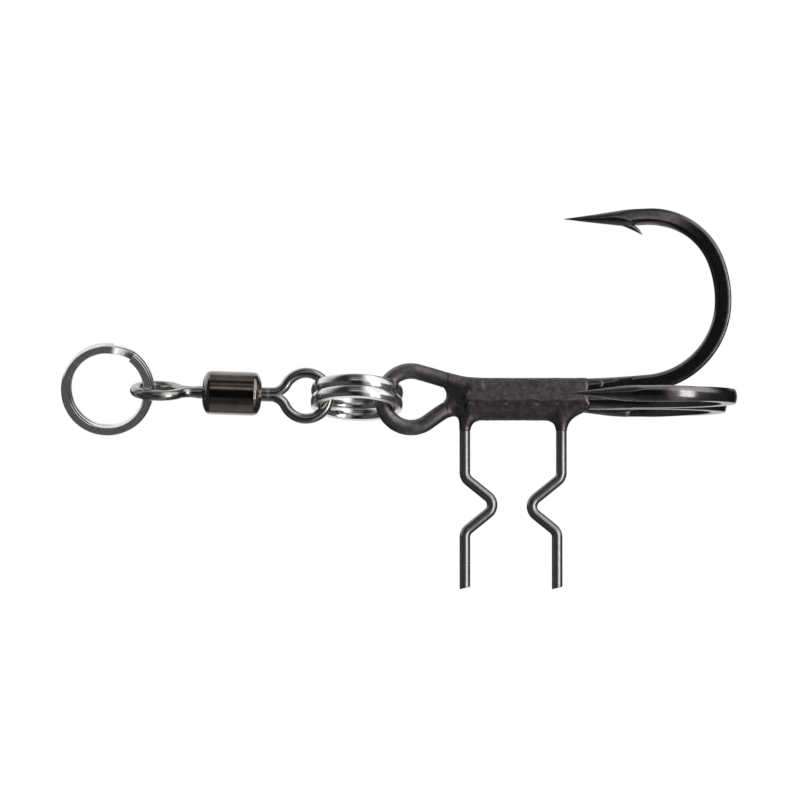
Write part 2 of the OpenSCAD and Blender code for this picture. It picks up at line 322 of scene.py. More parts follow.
def polished(name, dark, light, rough_low, rough_high):
    """Bright or black plating with faint drawing marks."""
    n = Nodes(name)
    marks = n.noise(n.scaled(6, 6, 1.4), detail=5)
    cloud = n.noise(n.scaled(0.8, 0.8, 0.8), detail=2)
    tone = n.blend_colors(n.remap(cloud, 0, 1), dark, light)
    n.bump(marks, 0.12, 0.01)
    return n.finish(tone, n.remap(marks, rough_low, rough_high))


def brushed_face(name, dark, light):
    """Flat ground face of a split ring, with fine scratches."""
    n = Nodes(name)
    scratch = n.noise(n.scaled(3, 18, 22), detail=6, roughness=0.7)
    cloud = n.noise(n.scaled(1.2, 1.2, 1.2), detail=3)
    tone = n.blend_colors(n.remap(scratch, 0, 1), dark, light)
    tone = n.blend_colors(n.remap(cloud, 0, 0.5), tone, light)
    n.bump(scratch, 0.25, 0.01)
    return n.finish(tone, n.remap(scratch, 0.3, 0.42))


ring_polish = polished("ring_polish", (0.58, 0.57, 0.56), (0.74, 0.73, 0.72), 0.12, 0.2)
ring_face = brushed_face("ring_face", (0.56, 0.55, 0.54), (0.86, 0.85, 0.84))
swivel_wire = polished("swivel_wire", (0.32, 0.312, 0.305), (0.42, 0.41, 0.40), 0.18, 0.26)
barrel_shell = polished("barrel_shell", (0.19, 0.173, 0.164), (0.26, 0.238, 0.226), 0.08, 0.14)
hook_satin = satin_black("hook_satin", (0.165, 0.151, 0.152), (0.235, 0.217, 0.218), 0.15, 0.20, 0.03)
eye_satin = satin_black("eye_satin", (0.165, 0.153, 0.153), (0.29, 0.274, 0.274), 0.40, 0.50, 0.25,
                         toward_braze=True)
braze_satin = satin_black("braze_satin", BRAZE_DARK, (0.21, 0.193, 0.194), 0.32, 0.46, 0.45)
spike_satin = satin_black("spike_satin", (0.28, 0.27, 0.268), (0.36, 0.348, 0.344), 0.30, 0.35, 0.0)

# ---------------------------------------------------------------- split rings

RING_OD = 8.52
RING_RADIAL = 0.88      # the wire's width across the ring
RING_AXIAL = 1.04       # and through it
COIL_GAP = 0.03
RING_SWEEP = 690        # degrees of wire, a little under two turns
RING_CROSS = 30         # degrees in which it steps from the first coil to the second
CROSS_EASE = 0.2        # share of that step that starts and ends gently
RING_END_R = 0.07
FLAT_HALF = 0.29        # half the width of the face that is pressed flat
SIDE_PLAIN = 0.35       # share of a plain ellipse in the side's bulge; the rest is narrower
ON_FLAT = 0.01          # a point this near to the face counts as on it
ring_mid = RING_OD / 2 - RING_RADIAL / 2
coil_at = (RING_AXIAL + COIL_GAP) / 2


def ring_section(side_points=15, flat_points=5):
    """Round wire pressed flat on both faces, as (radial, axial), and which edges belong to a flat."""
    bulge, half = RING_RADIAL / 2 - FLAT_HALF, RING_AXIAL / 2
    side = [(FLAT_HALF + bulge * (SIDE_PLAIN * math.cos(a) + (1 - SIDE_PLAIN) * math.cos(a) ** 2),
             half * math.sin(a)) for a in np.linspace(-math.pi / 2, math.pi / 2, side_points)]
    flat = [(u, half) for u in np.linspace(FLAT_HALF, -FLAT_HALF, flat_points + 2)[1:-1]]
    loop = side + flat
    loop += [(-u, -v) for u, v in loop]
    heights = np.abs([v for _, v in loop])
    return loop, np.minimum(heights, np.roll(heights, -1)) > half - ON_FLAT


def split_ring(name, node, body, joint, end_angle, hand):
    centre, normal = place_of(joint), axis_of(joint)
    side = unit(np.cross(normal, Z))
    up = np.cross(side, normal)
    turn = np.arange(0, RING_SWEEP + 1, 2.0)
    angle = np.radians(end_angle + hand * turn)
    crossed = np.clip((turn - 360 + RING_CROSS) / RING_CROSS, 0, 1)
    layer = mix(-coil_at, coil_at, (1 - CROSS_EASE) * crossed + CROSS_EASE * smooth(crossed))
    path = (centre + ring_mid * (np.outer(np.cos(angle), side) + np.outer(np.sin(angle), up))
            + np.outer(layer, normal))
    loop, is_flat = ring_section()
    sections = np.broadcast_to(np.array(loop), (len(path), len(loop), 2))
    verts, faces = swept(path, normal, sections, round_end=RING_END_R)
    rows = (len(faces) - 2) // len(loop)
    pick = [0 if flat else 1 for flat in is_flat] * rows + [0, 0]
    piece(name, [(verts, faces)], body, [node], [ring_face, ring_polish], pick,
          crease=30)


split_ring("split_ring_line", "line_split_ring", "line_ring", "line_eye_swing", end_angle=-35, hand=-1)
split_ring("split_ring_hook", "hook_split_ring", "hook_ring", "hook_ring_swing", end_angle=325, hand=1)

# ---------------------------------------------------------------- swivel

EYE_WIRE = 0.96
EYE_MID = 2.11          # radius of the eye's middle line
NECK_D = 1.32           # across both legs
NECK_SEAM = 0.012       # half the gap between them
NECK_SWELL = 0.13       # share by which the pressed legs are wider the other way
SWELL_OVER = 0.6
LEG_R = 1.5             # of the arc from the eye into a leg
LINE_EYE_ROLL = math.radians(15)
HEAD_D = 2.6
HEAD_H = 0.9
HEAD_EDGE = 0.12
HEAD_PLAY = 0.06        # from a head to the barrel's end wall
LEG_IN_HEAD = 0.1
AXIS_R = 1e-3           # stands for 0 on the axis of a turned solid
WIRE_RIM = 28           # points round a plain wire

BARREL_WALL = 0.5
HOLE_PLAY = 0.04        # from the neck to the hole's wall
LIP_EDGE = 0.14         # rounding of the lip round the hole
LIP_R = 0.9             # where the rolled end meets the lip
CRIMP_FROM_END = 0.72
CRIMP_WIDE, CRIMP_DEEP = 0.05, 0.035
FLAT_BEFORE_CRIMP = 0.3
FACET_LONG, FACET_DEEP = 0.13, 0.045    # between the crimp and the rolled end
SHOULDER_DEEP = 0.01    # the barrel is a little thinner past the crimp
ROLL_POWER = 1.3        # 1 rolls the end over as an ellipse, more is straighter

barrel_low, barrel_high = cad_box_mm("swivel_barrel")
barrel_half = (barrel_high[2] - barrel_low[2]) / 2
barrel_r = barrel_high[0]


def swivel_eye(name, node, body, side, up):
    """Wire eye with its legs squeezed together into a neck that ends in a head inside the barrel."""
    low, high = cad_box_mm(node)
    outside = EYE_MID + EYE_WIRE / 2
    centre = np.array([0, 0, high[2] - outside if up[2] < 0 else low[2] + outside])
    leg_at = NECK_D / 2 - EYE_WIRE / 2
    leg_z = math.sqrt((EYE_MID + LEG_R) ** 2 - (leg_at + LEG_R) ** 2)
    turn = math.acos((leg_at + LEG_R) / (EYE_MID + LEG_R))
    head_z = abs(centre[2] - barrel_at[2]) - barrel_half + BARREL_WALL + HEAD_PLAY
    leg = [(leg_at, z) for z in np.linspace(head_z + LEG_IN_HEAD, leg_z, 12)]
    bend = [(leg_at + LEG_R + LEG_R * math.cos(a), leg_z + LEG_R * math.sin(a))
            for a in np.linspace(math.pi, math.pi + turn, 16)[1:-1]]
    loop = [(EYE_MID * math.cos(a), EYE_MID * math.sin(a))
            for a in np.linspace(turn, -math.pi - turn, 90)]
    half = leg + bend
    flat = np.array(half + loop + [(-x, z) for x, z in half[::-1]])
    path = centre + np.outer(flat[:, 0], side) + np.outer(flat[:, 1], up)
    normal = np.cross(side, up)
    ring = circle(EYE_WIRE / 2, WIRE_RIM)
    verts, faces = swept(path, -normal, np.broadcast_to(ring, (len(path), *ring.shape)))
    # the two legs meet in a flat joint down the middle of the neck
    x = (verts - centre) @ side
    z = (verts - centre) @ up
    right = np.repeat(np.arange(len(path)) < len(path) / 2, len(ring))
    limit = np.where(right, np.maximum(x, NECK_SEAM), np.minimum(x, -NECK_SEAM))
    verts = verts + np.outer(np.where(z > EYE_MID / 2, limit - x, 0), side)
    # and are pressed a little wider across it
    swell = NECK_SWELL * smooth((z - leg_z) / SWELL_OVER)
    verts = verts + np.outer(swell * ((verts - centre) @ normal), normal)
    head_r = HEAD_D / 2
    disc = [(AXIS_R, 0), (head_r - HEAD_EDGE, 0), (head_r, HEAD_EDGE), (head_r, HEAD_H - HEAD_EDGE),
            (head_r - HEAD_EDGE, HEAD_H), (AXIS_R, HEAD_H)]
    head = [(r, h * up[2]) for r, h in disc]
    head = lathed(head if up[2] > 0 else head[::-1], centre + head_z * up, 48)
    piece(name, [(verts, faces), head], body, [node], [swivel_wire], crease=50)


line_eye_side = math.sin(LINE_EYE_ROLL) * X + math.cos(LINE_EYE_ROLL) * Y
swivel_eye("swivel_eye_line", "swivel_line_eye", "line_eye", line_eye_side, -Z)
swivel_eye("swivel_eye_hook", "swivel_hook_eye", "hook_eye", X, Z)


def barrel():
    """Tube with a crimp line at each end, ends rolled over and in to the neck holes."""
    hole = NECK_D / 2 + HOLE_PLAY
    crimp_at = barrel_half - CRIMP_FROM_END
    pressed, shoulder = barrel_r - CRIMP_DEEP, barrel_r - SHOULDER_DEEP
    roll = barrel_half - crimp_at - CRIMP_WIDE - FACET_LONG
    roll_r = shoulder - FACET_DEEP
    half = [(barrel_r, 0.0), (barrel_r, crimp_at - FLAT_BEFORE_CRIMP), (barrel_r, crimp_at - CRIMP_WIDE),
            (pressed, crimp_at - CRIMP_WIDE / 2), (pressed, crimp_at + CRIMP_WIDE / 2),
            (shoulder, crimp_at + CRIMP_WIDE)]
    half += [(LIP_R + (roll_r - LIP_R) * math.cos(a) ** ROLL_POWER,
              barrel_half - roll * (1 - math.sin(a) ** ROLL_POWER)) for a in np.radians(np.arange(0, 91, 6))]
    half += [(hole + LIP_EDGE - LIP_EDGE * math.sin(a), barrel_half - LIP_EDGE * (1 - math.cos(a)))
             for a in np.radians([0, 22, 45, 68, 90])]
    half += [(hole, barrel_half - BARREL_WALL), (barrel_r - BARREL_WALL, barrel_half - BARREL_WALL)]
    outline = half + [(r, -h) for r, h in half[:0:-1]]
    piece("swivel_barrel_shell", [lathed(outline, barrel_at)], "barrel", ["swivel_barrel"],
          [barrel_shell], crease=30)


barrel()

# ---------------------------------------------------------------- treble

HOOK_WIRE = 1.48
EYE_WIRE_T = 1.45       # the same wire, a little drawn out round the eye
TREBLE_MID = 2.605      # radius of the eye's middle line
UPPER_SHANK = 1.17      # the upper shank's line, outwards from the eye's centre
SIDE_DROP = 0.2         # the side shanks' lines, inwards from it
SIDE_OFFSET = 0.76      # and to either side
SHANK_LEN = 14.45       # from the eye's centre to the bend
BEND_ARCS = ((80, 5.3), (7.6, 83.6), (10.18, 22), (6.31, 71.9))    # radius, degrees
LEG_LEN = 7.75          # from the bend to the point
LEG_R_BACK = 160        # radius at which that leg curves back
NEAR_POINT = (0.5, 0.35, 0.2, 0.1, 0.04, 0.0)      # rows there, where the cone is thin
ARMS_MEET = 6.4         # where the eye's arms become the two shanks
UPPER_ARM_TURN = 110    # where the arms leave the eye's round part, in degrees from its top
LOWER_ARM_TURN = -126
LOWER_ARM_PULL = (2.4, 2.2)     # how far the lower arm's curve keeps to the line of each of its ends
NEAR_CUT = 5.6          # the near shank's cut end, below the eye's centre
NEAR_CUT_R = 0.1

# Spacing of the mesh's rows: round the bend, along a shank, along the point leg and round the eye
BEND_STEP = 0.16
SHANK_STEP = 0.3
LEG_STEP = 0.1
EYE_STEP = 3.0          # degrees
RIM = 40                # points round the wire

# The wire's outline: an oval cut flat on both faces, within the cone of the point
BEND_HALF = 0.77
OVAL_HALF = 1.06
FORGED_HALF = 0.66
UNFORGED_PLAY = 0.01
FORGE_FROM, FORGE_OVER = 1.5, 5.5       # from the start of the bend
POINT_LEN = 5.6
POINT_HALF = 0.03
CORNER_POWER = 30.0     # more makes the edges of the faces sharper

# Measures along the point leg, from the point
BARB_AT = 7.1
CUT_DEEP = 0.16         # share of the wire taken off behind the barb
CUT_BEFORE, CUT_RISE = 1.0, 0.5     # from the barb's tip
CUT_AFTER, CUT_FALL = 2.2, 1.8
LEG_TWIST = math.radians(13)
TWIST_FROM, TWIST_OVER = 1.0, 3.0
UNTWIST_FROM, UNTWIST_OVER = 8.0, 6.0

# The barb's two outlines as (distance from the point, depth inwards), and its half width
BARB_UNDER = ((4.9, 0.58), (6.0, 0.98), (BARB_AT + 0.02, 1.64))
BARB_OVER = ((5.6, 0.40), (6.8, 0.62), (BARB_AT + 0.02, 1.62))
BARB_HALF, BARB_TIP_HALF, BARB_TAPER = 0.45, 0.02, 0.6
BARB_LOOK = 0.2         # step by which the leg's direction is taken


def to_row(vectors):
    """Treble directions (out, side, along the shank upwards) to the row frame."""
    v = np.asarray(vectors, float)
    return v[..., :1] * treble_out + v[..., 1:2] * Y - v[..., 2:3] * treble_down


def in_treble(points):
    """Treble coordinates, from the eye's centre, to the row frame."""
    return treble_at + to_row(points)


def bend_line(shank):
    """Centre line from the shank's end to the point as rows of (sideways, down, distance from the point)."""
    rows, x, z, heading = [], shank, SHANK_LEN, 0.0
    for radius, turn in BEND_ARCS:
        count = max(2, round(radius * math.radians(turn) / BEND_STEP))
        for k in range(1, count + 1):
            h = heading + math.radians(turn) * k / count
            rows.append((x + radius * (math.cos(heading) - math.cos(h)),
                         z + radius * (math.sin(h) - math.sin(heading)), 0.0))
        x, z, heading = rows[-1][0], rows[-1][1], heading + math.radians(turn)
    bend = len(rows)
    for s in [*np.arange(LEG_LEN, NEAR_POINT[0] + LEG_STEP, -LEG_STEP)[1:], *NEAR_POINT]:
        h = heading - (LEG_LEN - s) / LEG_R_BACK
        rows.append((x - LEG_R_BACK * (math.cos(heading) - math.cos(h)),
                     z + LEG_R_BACK * (math.sin(heading) - math.sin(h)), s))
    rows = np.array(rows)
    back = np.linalg.norm(np.diff(rows[:bend + 1, :2], axis=0), axis=1)
    rows[:bend, 2] = LEG_LEN + np.cumsum(back[::-1])[::-1]
    return rows


bend_len = bend_line(0)[0, 2]


def hook_section(s):
    """Wire outline at distance s from the point: round, forged flat through the bend, ground to a cone."""
    a = np.linspace(0, 2 * np.pi, RIM, endpoint=False)
    forged = smooth((bend_len - s - FORGE_FROM) / FORGE_OVER)
    cone = POINT_HALF + (BEND_HALF - POINT_HALF) * s / POINT_LEN
    wide = mix(HOOK_WIRE / 2, BEND_HALF, forged)
    tall = mix(HOOK_WIRE / 2, OVAL_HALF, forged)
    slab = mix(HOOK_WIRE / 2 + UNFORGED_PLAY, FORGED_HALF, forged)
    oval = 1 / np.sqrt((np.cos(a) / wide) ** 2 + (np.sin(a) / tall) ** 2)
    sheet = slab / np.maximum(np.abs(np.sin(a)), 1e-4)
    limits = (oval, sheet, np.full(RIM, cone))
    size = sum(limit ** -CORNER_POWER for limit in limits) ** (-1 / CORNER_POWER)
    # the cut behind the barb takes a little off the inner side
    cut = (smooth((s - BARB_AT + CUT_BEFORE) / CUT_RISE)
           * smooth((BARB_AT + CUT_AFTER - s) / CUT_FALL))
    size = size * (1 - CUT_DEEP * cut * np.clip(-np.cos(a), 0, 1) ** 3)
    # the point leg is turned a little about its own line, which fades out round the bend
    turned = a - (LEG_TWIST * (1 - smooth((s - UNTWIST_FROM) / UNTWIST_OVER))
                  * smooth((s - TWIST_FROM) / TWIST_OVER))
    return np.stack([size * np.cos(turned), size * np.sin(turned)], -1)


def barb(line, origin, way, binormal):
    """Sliver raised from the inner side of the point, swept back and thin at its tip."""
    s, leg = line[::-1, 2], line[::-1, :2]

    def on_leg(at, depth):
        here, ahead = (np.array([np.interp(d, s, leg[:, i]) for i in (0, 1)])
                       for d in (at, at + BARB_LOOK))
        along = unit(ahead - here)
        inward = np.array([along[1], -along[0]])
        return here + depth * (inward if inward[0] < 0 else -inward)

    under, over = ([on_leg(*stop) for stop in outline] for outline in (BARB_UNDER, BARB_OVER))
    a = np.linspace(0, 2 * np.pi, 20, endpoint=False)[:, None]
    rings = []
    for f in np.linspace(0, 1, 18):
        low, high = (p[0] * (1 - f) ** 2 + p[1] * 2 * f * (1 - f) + p[2] * f * f for p in (under, over))
        middle, half = ([*v, 0] for v in ((low + high) / 2, (low - high) / 2))
        middle = origin + way * middle[0] - Z * middle[1]
        half = way * half[0] - Z * half[1]
        wide = BARB_HALF * (1 - f) ** BARB_TAPER + BARB_TIP_HALF
        rings.append(in_treble(middle + half * np.cos(a)) + wide * np.sin(a) * binormal)
    return tube(np.array(rings))


def hook_rows(shank, top, way, origin):
    """(points, sections, bend line) of one hook, from its shank's top to the point."""
    line = bend_line(shank)
    shaft = [(shank, z) for z in np.arange(top, SHANK_LEN + 0.01, SHANK_STEP)]
    flat = np.concatenate([shaft, line[:, :2]])
    points = origin + np.outer(flat[:, 0], way) - np.outer(flat[:, 1], Z)
    plain = hook_section(bend_len + 1)
    sections = [plain] * len(shaft) + [hook_section(s) for s in line[:, 2]]
    return points, np.array(sections), line


def arm_lines():
    """Centre lines of the eye: upper arm, round part and lower arm, in treble coordinates."""
    f = np.linspace(0, 1, 26)
    # the upper arm leaves its shank in line and bows out to the round part
    end = math.radians(UPPER_ARM_TURN)
    bow = f * f * (1.9 - 0.9 * f)
    upper = np.stack([mix(UPPER_SHANK, TREBLE_MID * math.sin(end), bow), 0 * f,
                      mix(-ARMS_MEET, TREBLE_MID * math.cos(end), f)], -1)
    turn = np.radians(np.arange(UPPER_ARM_TURN - EYE_STEP, LOWER_ARM_TURN + 1, -EYE_STEP))
    eye = TREBLE_MID * np.stack([np.sin(turn), 0 * turn, np.cos(turn)], -1)
    # the lower arm is a cubic curve from the round part into the far shank
    a = math.radians(LOWER_ARM_TURN)
    start = TREBLE_MID * np.array([math.sin(a), 0, math.cos(a)])
    heading = np.array([-math.cos(a), 0, math.sin(a)])
    side = np.array([-SIDE_DROP, SIDE_OFFSET, -ARMS_MEET])
    first, last = LOWER_ARM_PULL
    stops = [start, start + first * heading, side + [0, 0, last], side]
    g = f[:, None]
    lower = (stops[0] * (1 - g) ** 3 + 3 * stops[1] * g * (1 - g) ** 2
             + 3 * stops[2] * g * g * (1 - g) + stops[3] * g ** 3)
    return upper, eye, lower


upper_arm, eye_round, lower_arm = arm_lines()
side_from = np.array([-SIDE_DROP, 0, 0])


def double_hook():
    """One wire from the upper point round the eye to the far point."""
    up_points, up_sections, up_line = hook_rows(UPPER_SHANK, ARMS_MEET + SHANK_STEP, X, np.zeros(3))
    far_points, far_sections, far_line = hook_rows(SIDE_OFFSET, ARMS_MEET + SHANK_STEP, Y, side_from)
    middle = np.concatenate([upper_arm, eye_round, lower_arm])
    stations = [0, len(upper_arm), len(middle) - len(lower_arm), len(middle)]
    wire = np.interp(np.arange(len(middle)), stations, [HOOK_WIRE, EYE_WIRE_T, EYE_WIRE_T, HOOK_WIRE]) / 2
    path = np.concatenate([up_points[::-1], middle, far_points])
    sections = np.concatenate([up_sections[::-1], wire[:, None, None] * circle(1, RIM), far_sections])
    # the lower arm turns the wire from the upper hook's plane into the far hook's
    turned = smooth(np.linspace(0, 1, len(lower_arm)))[:, None]
    binormals = np.concatenate([np.tile(-Y, (len(path) - len(lower_arm) - len(far_points), 1)),
                                mix(-Y, -X, turned), np.tile(-X, (len(far_points), 1))])
    body = swept(in_treble(path), to_row(binormals), sections)
    # the upper hook runs backwards in this wire, so its barb takes the opposite binormal
    barbs = [barb(up_line, np.zeros(3), X, Y), barb(far_line, side_from, Y, to_row(-X))]
    rows = np.arange(len(body[1])) // RIM
    in_eye = (rows >= len(up_points)) & (rows < len(path) - len(far_points))
    pick = [*in_eye.astype(int), *(0 for made in barbs for _ in made[1])]
    piece("treble_double_hook", [body, *barbs], "treble", ["eyed_double_hook"],
          [hook_satin, eye_satin], pick, crease=24)


def single_hook():
    points, sections, line = hook_rows(SIDE_OFFSET, NEAR_CUT, -Y, side_from)
    body = swept(in_treble(points), to_row(X), sections, round_end=NEAR_CUT_R)
    piece("treble_single_hook", [body, barb(line, side_from, -Y, to_row(X))], "treble",
          ["single_hook"], [hook_satin], crease=24)


double_hook()
single_hook()

# ---------------------------------------------------------------- bait spikes

SPIKE_D = 0.98
FRONT_Z = 4.95          # the front and rear spike, along the shanks from the eye's centre
REAR_Z = 13.83
CROWN = 1.43            # the crown's line, inwards from the eye's centre
SPIKE_REACH = 17.48     # and the spikes' ends
KINK_START = 6.75       # and the start of the kink, which is two straights between three arcs
KINK_STRAIGHT = 2.29
KINK_TURN = 51
KINK_R = 0.98
REAR_SHIFT = 0.4        # the rear spike's end stands this much nearer the front one
SPIKE_END_R = 0.05
SLANT_RISE = 0.12       # height of the ends' slanted cuts at the wire's middle
SLANT_OVER = 0.8        # length of wire that takes up the slant
SPIKE_STEP = 0.12
kink_turn = math.radians(KINK_TURN)
kink_drop = 2 * KINK_STRAIGHT * math.cos(kink_turn) + 4 * KINK_R * math.sin(kink_turn)


def run_line(run):
    """Points along straights (length, 0) and arcs (radius, turn) as (along, out)."""
    x, y, heading = 0.0, 0.0, 0.0
    points = [(x, y)]
    for size, turn in run:
        angle = math.radians(turn)
        count = max(2, round(size * (abs(angle) or 1) / SPIKE_STEP))
        side = math.copysign(1, turn)
        for k in range(1, count + 1):
            h = heading + angle * k / count
            if turn:
                dx = side * size * (math.sin(h) - math.sin(heading))
                dy = -side * size * (math.cos(h) - math.cos(heading))
            else:
                dx, dy = size * math.cos(heading) * k / count, size * math.sin(heading) * k / count
            points.append((x + dx, y + dy))
        (x, y), heading = points[-1], heading + angle
    return np.array(points)


def spike_half(shift):
    """From the crown's middle to a spike's end, which stands inwards by shift, as (along, out)."""
    extra = shift / 2 / math.sin(kink_turn)
    return run_line([
        ((REAR_Z - FRONT_Z) / 2 - KINK_R, 0), (KINK_R, 90), (KINK_START - CROWN - KINK_R, 0),
        (KINK_R, KINK_TURN), (KINK_STRAIGHT + extra, 0), (KINK_R, -2 * KINK_TURN),
        (KINK_STRAIGHT - extra, 0), (KINK_R, KINK_TURN), (SPIKE_REACH - KINK_START - kink_drop, 0)])


def spikes():
    """Both spikes as one wire, whose crown lies hidden in the braze."""
    front, rear = spike_half(0), spike_half(REAR_SHIFT) * [-1, 1]
    flat = np.concatenate([front[::-1], rear[1:]])
    path = np.stack([-CROWN - flat[:, 1], 0 * flat[:, 0], flat[:, 0] - (FRONT_Z + REAR_Z) / 2], -1)
    ring = circle(SPIKE_D / 2, WIRE_RIM)
    verts, faces = swept(in_treble(path), Y, np.broadcast_to(ring, (len(path), *ring.shape)),
                         round_end=SPIKE_END_R)
    # both ends are cut at a slant, longest on the side of the eye
    out, along = (verts - treble_at) @ treble_out, (verts - treble_at) @ treble_down
    middle = np.where(along < (FRONT_Z + REAR_Z) / 2, FRONT_Z, REAR_Z - REAR_SHIFT)
    slant = SLANT_RISE * (1 + np.clip((along - middle) / (SPIKE_D / 2), -1, 1))
    raised = slant * np.clip(SLANT_OVER - SPIKE_REACH - out, 0, SLANT_OVER) / SLANT_OVER
    verts = verts + np.outer(raised, treble_out)
    piece("bait_spikes", [(verts, faces)], "treble", ["spike_wire"],
          [spike_satin], crease=40)


spikes()

# ---------------------------------------------------------------- braze

BRAZE_STEP = 0.075      # spacing of the grid on which the skin is worked out
BRAZE_GRID = ((-3.4, -1.95, -18.3), (3.0, 1.95, -2.5))
PAST_GRID = -20

# The block in cross-section, as (out, side) corners before they are rounded, and its two ends
BRAZE_SECTION = ((1.28, -0.16), (1.28, 0.16), (-0.10, 1.06), (-1.42, 0.16), (-1.42, -0.16), (-0.10, -1.06))
BRAZE_ROUND = 0.5
BRAZE_TOP, BRAZE_END = -5.3, -16.25
# Behind the rear spike the underside runs up to the side shanks, on a plane through (out, up)
UNDERSIDE_THROUGH = (-0.98, -16.3)
UNDERSIDE_SLOPE, UNDERSIDE_SCALE = 0.5, 0.88
NEAR_COVER = -5.15      # the skin's end over the near shank's cut
FILLET = {"underside": 0.4, "ends": 0.3, "arms": 2.2, "wires": 0.35, "spikes": 1.1, "drops": 0.2}

# Drops left on the upper shank and on the near one, as (out, side, up, radius)
DROPS = ((1.35, -0.62, -17.35, 0.16), (1.55, -0.50, -17.6, 0.14), (-0.35, -1.38, -16.3, 0.2))
DROP_RUN = (0.1, 0, -0.25)
UPPER_DROPS_Z, UPPER_DROPS_OVER, UPPER_DROPS_OUT = -17.45, 0.45, 0.9
DROPS_SPARED = 0.9      # share of the dive that the upper shank's drops are spared

# The ridge where the torch pass met and the groove beside it, on each side of the block:
# (out, half width, side, end, rise)
RIDGE = (-0.12, 0.11, 1.55, -15.2, 0.155)
GROOVE = (-0.38, 0.13, 1.45, -15.6, -0.10)
SEAM_TOP, SEAM_TOP_OVER, SEAM_END_OVER, SEAM_SPREAD = -5.2, 0.3, 1.2, 0.3

# Unevenness as (height, wavelength, seed): of the seams' line, of the skin and of its end at the bends
WANDER = (0.07, 1.6, 8)
LUMPS = (0.010, 1.1, 4)
GRIT = (0.006, 0.4, 5)
RAGGED = (0.2, 1.0, 7)
SKIN_OVER = 0.03        # the skin's thickness over the wires

# Where the skin dives into the wires at its ends: (place, distance, depth)
EYE_DIVE = (-3.5, 0.7, 0.16)
BEND_DIVE = (-15.9, 1.1, 0.2)
SPIKE_DIVE = (-2.75, 0.5, 0.12)


def melt(a, b, k):
    """Smooth union of two distance fields."""
    h = np.maximum(k - np.abs(a - b), 0) / k
    return np.minimum(a, b) - h * h * k / 4


def rod(p, a, b, r):
    """Distance to a rod with round ends."""
    a, b = np.asarray(a, float), np.asarray(b, float)
    d = b - a
    h = np.clip(((p - a) @ d) / (d @ d), 0, 1)
    return np.linalg.norm(p - a - h[..., None] * d, axis=-1) - r


def chain(p, line, r):
    """Distance to a bent wire."""
    return np.minimum.reduce([rod(p, a, b, r) for a, b in zip(line[:-1], line[1:])])


def kite(x, y, corners, r):
    """Distance to a rounded polygon in the plane, corners anticlockwise."""
    corners = np.asarray(corners, float)
    best, inside = np.full(x.shape, 1e9), np.full(x.shape, -1e9)
    for a, b in zip(corners, np.roll(corners, -1, axis=0)):
        d = b - a
        h = np.clip(((x - a[0]) * d[0] + (y - a[1]) * d[1]) / (d @ d), 0, 1)
        best = np.minimum(best, np.hypot(x - a[0] - h * d[0], y - a[1] - h * d[1]))
        normal = np.array([d[1], -d[0]]) / np.linalg.norm(d)
        inside = np.maximum(inside, (x - a[0]) * normal[0] + (y - a[1]) * normal[1])
    return np.where(inside < 0, inside, best) - r


def ripples(p, height, scale, seed, count=24):
    """Soft seeded unevenness, about height to either side of 0."""
    rng = np.random.default_rng(seed)
    out = np.zeros(p.shape[:-1])
    for _ in range(count):
        way = rng.normal(size=3)
        out += np.sin(p @ (way / np.linalg.norm(way)) * (2 * np.pi / scale) * rng.uniform(0.6, 1.6)
                      + rng.uniform(0, 6.3))
    return height * (out / math.sqrt(count / 2) / 1.6)


def dive(place, way, start, distance, depth):
    """Depth gained past start over a distance, along way 1 or -1."""
    return smooth(way * (place - start) / distance) * depth


